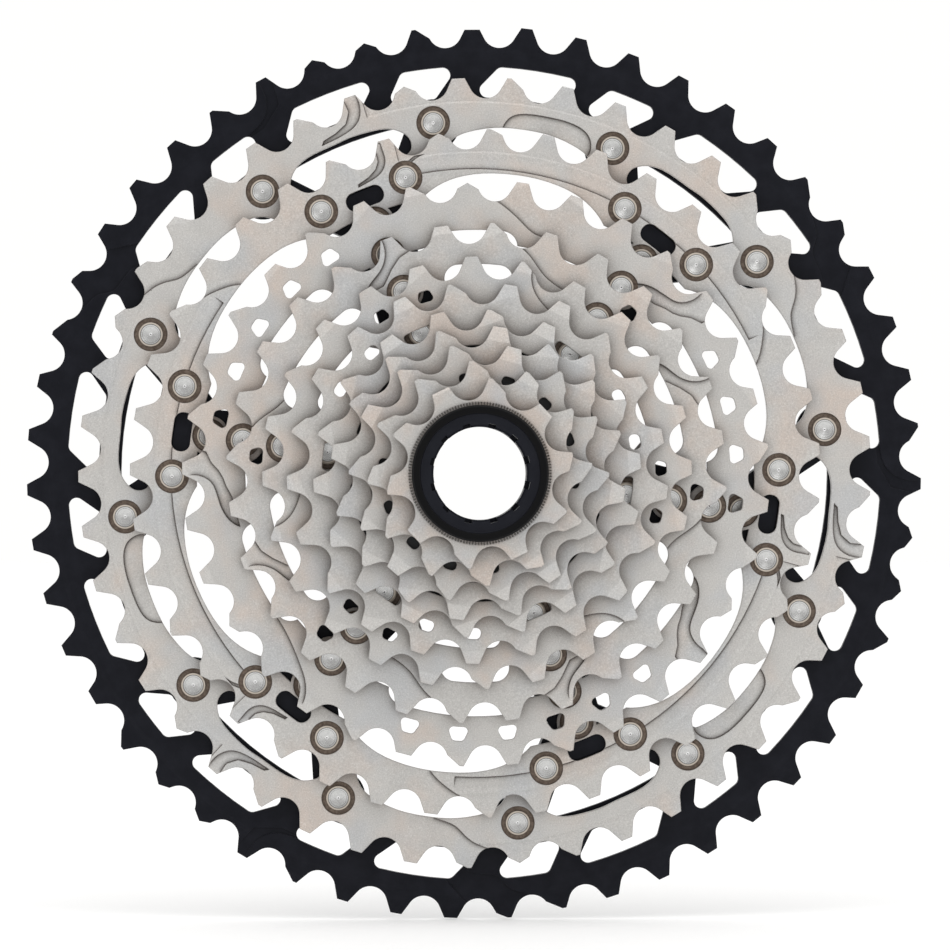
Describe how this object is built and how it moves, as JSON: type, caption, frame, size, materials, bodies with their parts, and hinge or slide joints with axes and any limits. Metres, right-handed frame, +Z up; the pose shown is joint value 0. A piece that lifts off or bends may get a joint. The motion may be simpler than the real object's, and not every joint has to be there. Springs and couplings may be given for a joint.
{
  "type": "cassette sprocket",
  "caption": "Stepped stack of toothed bicycle sprockets, riveted to two alloy carriers or keyed on splines, held by a threaded lockring",
  "frame": {"origin": "centre of the back seat face of the large carrier's hub, on the spin axis", "axes": "+Z up, spin axis along Y, small sprockets and lockring towards -Y, largest sprocket and wheel side towards +Y, +X to the right seen from the lockring"},
  "size_m": [0.2084, 0.0446, 0.2075],
  "materials": {
    "satin_steel": "satin nickel plate with fine grain",
    "black_alloy": "black anodised, fine matt",
    "black_lockring": "black anodised, satin",
    "rivet_metal": "bright pressed head",
    "plain_steel": "plain",
    "black_plastic": "moulded"
  },
  "bodies": {
    "large_unit": {"large_carrier": "black_alloy", "sprocket_51t": "black_alloy", "sprocket_45t": "satin_steel", "sprocket_39t": "satin_steel", "sprocket_33t": "satin_steel", "rivets_45t_51t": "rivet_metal", "rivets_39t_outer": "rivet_metal", "rivets_39t_inner": "rivet_metal", "rivets_33t": "rivet_metal"},
    "small_unit": {"small_carrier": "black_alloy", "sprocket_28t": "satin_steel", "sprocket_24t": "satin_steel", "sprocket_21t": "satin_steel", "rivets_28t": "rivet_metal", "rivets_24t": "rivet_metal", "rivets_21t": "rivet_metal"},
    "pinned_unit": {"spacer_21_18": "black_plastic", "sprocket_18t": "satin_steel", "spacer_18_16": "black_plastic", "sprocket_16t": "satin_steel", "spacer_16_14": "black_plastic", "sprocket_14t": "satin_steel", "sprocket_pins": "plain_steel"},
    "twelve_tooth": {"sprocket_12t": "satin_steel"},
    "ten_tooth": {"sprocket_10t": "satin_steel"},
    "washer": {"lockring_washer": "plain_steel"},
    "lockring_body": {"lockring": "black_lockring"}
  },
  "joints": [
    {"name": "small_unit_slide", "type": "slide", "parent": "large_unit", "child": "small_unit", "axis": [0, -1, 0], "range_m": [0, 0.04]},
    {"name": "pinned_unit_slide", "type": "slide", "parent": "small_unit", "child": "pinned_unit", "axis": [0, -1, 0], "range_m": [0, 0.03]},
    {"name": "sprocket_12t_slide", "type": "slide", "parent": "pinned_unit", "child": "twelve_tooth", "axis": [0, -1, 0], "range_m": [0, 0.025]},
    {"name": "sprocket_10t_slide", "type": "slide", "parent": "twelve_tooth", "child": "ten_tooth", "axis": [0, -1, 0], "range_m": [0, 0.025]},
    {"name": "lockring_travel", "type": "slide", "parent": "ten_tooth", "child": "washer", "axis": [0, -1, 0], "range_m": [0, 0.0081]},
    {"name": "lockring_turn", "type": "hinge", "parent": "washer", "child": "lockring_body", "pos_m": [0, -0.03585, 0], "axis": [0, -1, 0], "range_deg": [0, 2880]}
  ],
  "couplings": [
    {"joint": "lockring_travel", "follows": "lockring_turn", "m_per_rad": 0.00015915}
  ]
}
